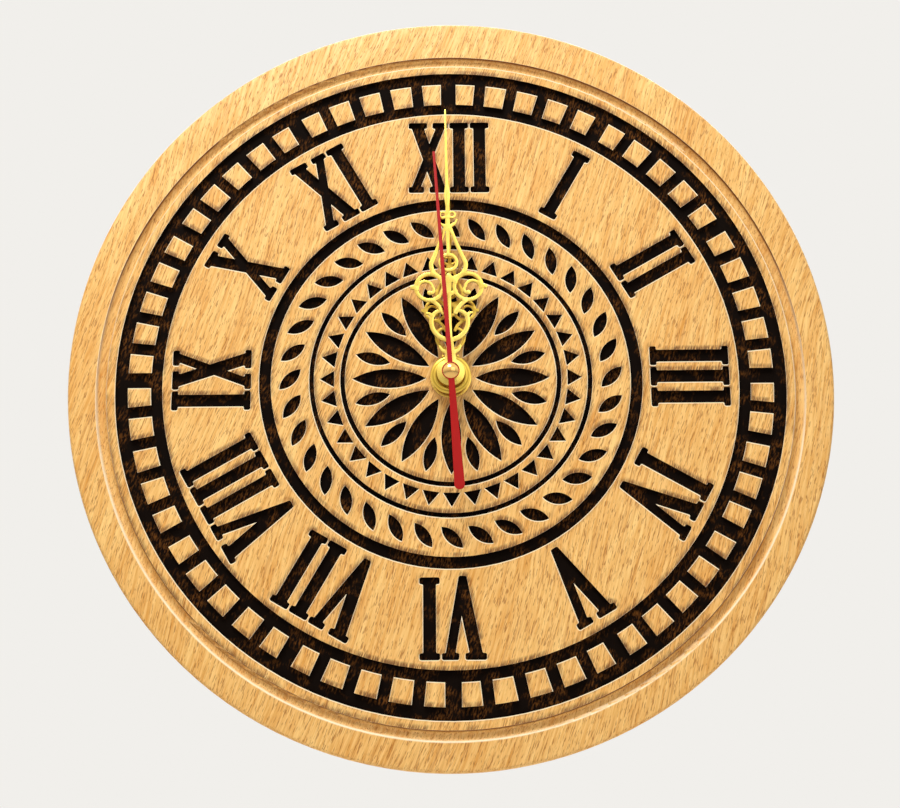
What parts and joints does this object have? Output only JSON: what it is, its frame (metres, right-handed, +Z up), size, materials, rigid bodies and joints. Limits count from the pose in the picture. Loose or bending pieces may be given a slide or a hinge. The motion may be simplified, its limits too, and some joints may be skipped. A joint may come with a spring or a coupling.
{
  "type": "wall clock",
  "caption": "Round wooden wall clock with a carved Roman dial, filigree hands and a battery movement let into the back.",
  "frame": {"origin": "the hands' axis at the centre of the back face, on the wall plane", "axes": "+Y out of the back towards the wall, -Y out of the dial, +Z up through twelve o'clock, +X to the reader's right"},
  "size_m": [0.302, 0.0326, 0.306],
  "materials": {
    "beech": "oiled beech with dark stained carving",
    "case_plastic": "moulded black",
    "cover_plastic": "moulded black",
    "knob_plastic": "moulded red",
    "turned_brass": "turned, bright",
    "black_rubber": "plain sheet",
    "gilt_hand": "stamped and gilt",
    "gilt_cap": "polished gilt dome",
    "red_enamel": "gloss red enamel",
    "white_acetal": "moulded natural white",
    "ferrite": "sintered magnet",
    "spring_steel": "nickel plated",
    "enamelled_copper": "enamelled copper wire",
    "phenolic_board": "phenolic laminate",
    "black_epoxy": "cast epoxy",
    "cell_jacket": "plain jacket with a bare end band",
    "zinc_steel": "zinc plated"
  },
  "bodies": {
    "clock_body": {"dial_board": "beech", "movement_case": "case_plastic", "movement_cover": "cover_plastic", "threaded_bush": "turned_brass", "rubber_seal": "black_rubber", "brass_washer": "turned_brass", "hex_nut": "turned_brass", "stator": "spring_steel", "coil_core": "spring_steel", "coil_bobbin": "white_acetal", "coil_winding": "enamelled_copper", "circuit_board": "phenolic_board", "chip_blob": "black_epoxy", "quartz_crystal": "spring_steel", "nub_contact": "spring_steel", "spring_contact": "spring_steel", "hanger_plate": "zinc_steel", "hanger_screws": "zinc_steel"},
    "second_train": {"second_hand": "red_enamel", "second_hand_cap": "gilt_cap", "seconds_wheel": "white_acetal"},
    "minute_train": {"minute_hand": "gilt_hand", "minute_arbor": "turned_brass", "clutch_spring": "spring_steel"},
    "hour_train": {"hour_hand": "gilt_hand", "hour_wheel": "white_acetal"},
    "motion_train": {"motion_wheel": "white_acetal", "setting_knob": "knob_plastic"},
    "centre_train": {"centre_wheel": "white_acetal"},
    "third_train": {"third_wheel": "white_acetal"},
    "intermediate_train": {"intermediate_wheel": "white_acetal"},
    "rotor": {"rotor_pinion": "white_acetal", "rotor_magnet": "ferrite"},
    "cell": {"battery": "cell_jacket"}
  },
  "joints": [
    {"name": "second_spin", "type": "hinge", "parent": "clock_body", "child": "second_train", "pos_m": [0, -0.03, 0], "axis": [0, 1, 0], "continuous": true},
    {"name": "minute_spin", "type": "hinge", "parent": "clock_body", "child": "minute_train", "pos_m": [0, -0.028, 0], "axis": [0, 1, 0], "continuous": true},
    {"name": "hour_spin", "type": "hinge", "parent": "clock_body", "child": "hour_train", "pos_m": [0, -0.024, 0], "axis": [0, 1, 0], "continuous": true},
    {"name": "motion_spin", "type": "hinge", "parent": "clock_body", "child": "motion_train", "pos_m": [-0.00831, -0.01, 0.0048], "axis": [0, 1, 0], "continuous": true},
    {"name": "centre_spin", "type": "hinge", "parent": "clock_body", "child": "centre_train", "pos_m": [0, -0.011, 0], "axis": [0, 1, 0], "continuous": true},
    {"name": "third_spin", "type": "hinge", "parent": "clock_body", "child": "third_train", "pos_m": [0.00779, -0.01, 0.0045], "axis": [0, 1, 0], "continuous": true},
    {"name": "intermediate_spin", "type": "hinge", "parent": "clock_body", "child": "intermediate_train", "pos_m": [-0.00078, -0.008, 0.00897], "axis": [0, 1, 0], "continuous": true},
    {"name": "rotor_spin", "type": "hinge", "parent": "clock_body", "child": "rotor", "pos_m": [-0.00139, -0.006, 0.01594], "axis": [0, 1, 0], "continuous": true},
    {"name": "battery_slide", "type": "slide", "parent": "clock_body", "child": "cell", "axis": [0, 1, 0], "range_m": [0, 0.016]}
  ],
  "couplings": [
    {"joint": "hour_spin", "follows": "minute_spin", "ratio": 0.083333},
    {"joint": "motion_spin", "follows": "minute_spin", "ratio": -0.33333},
    {"joint": "intermediate_spin", "follows": "second_spin", "ratio": -5},
    {"joint": "rotor_spin", "follows": "second_spin", "ratio": 30},
    {"joint": "third_spin", "follows": "second_spin", "ratio": -0.125},
    {"joint": "centre_spin", "follows": "second_spin", "ratio": 0.016667}
  ]
}
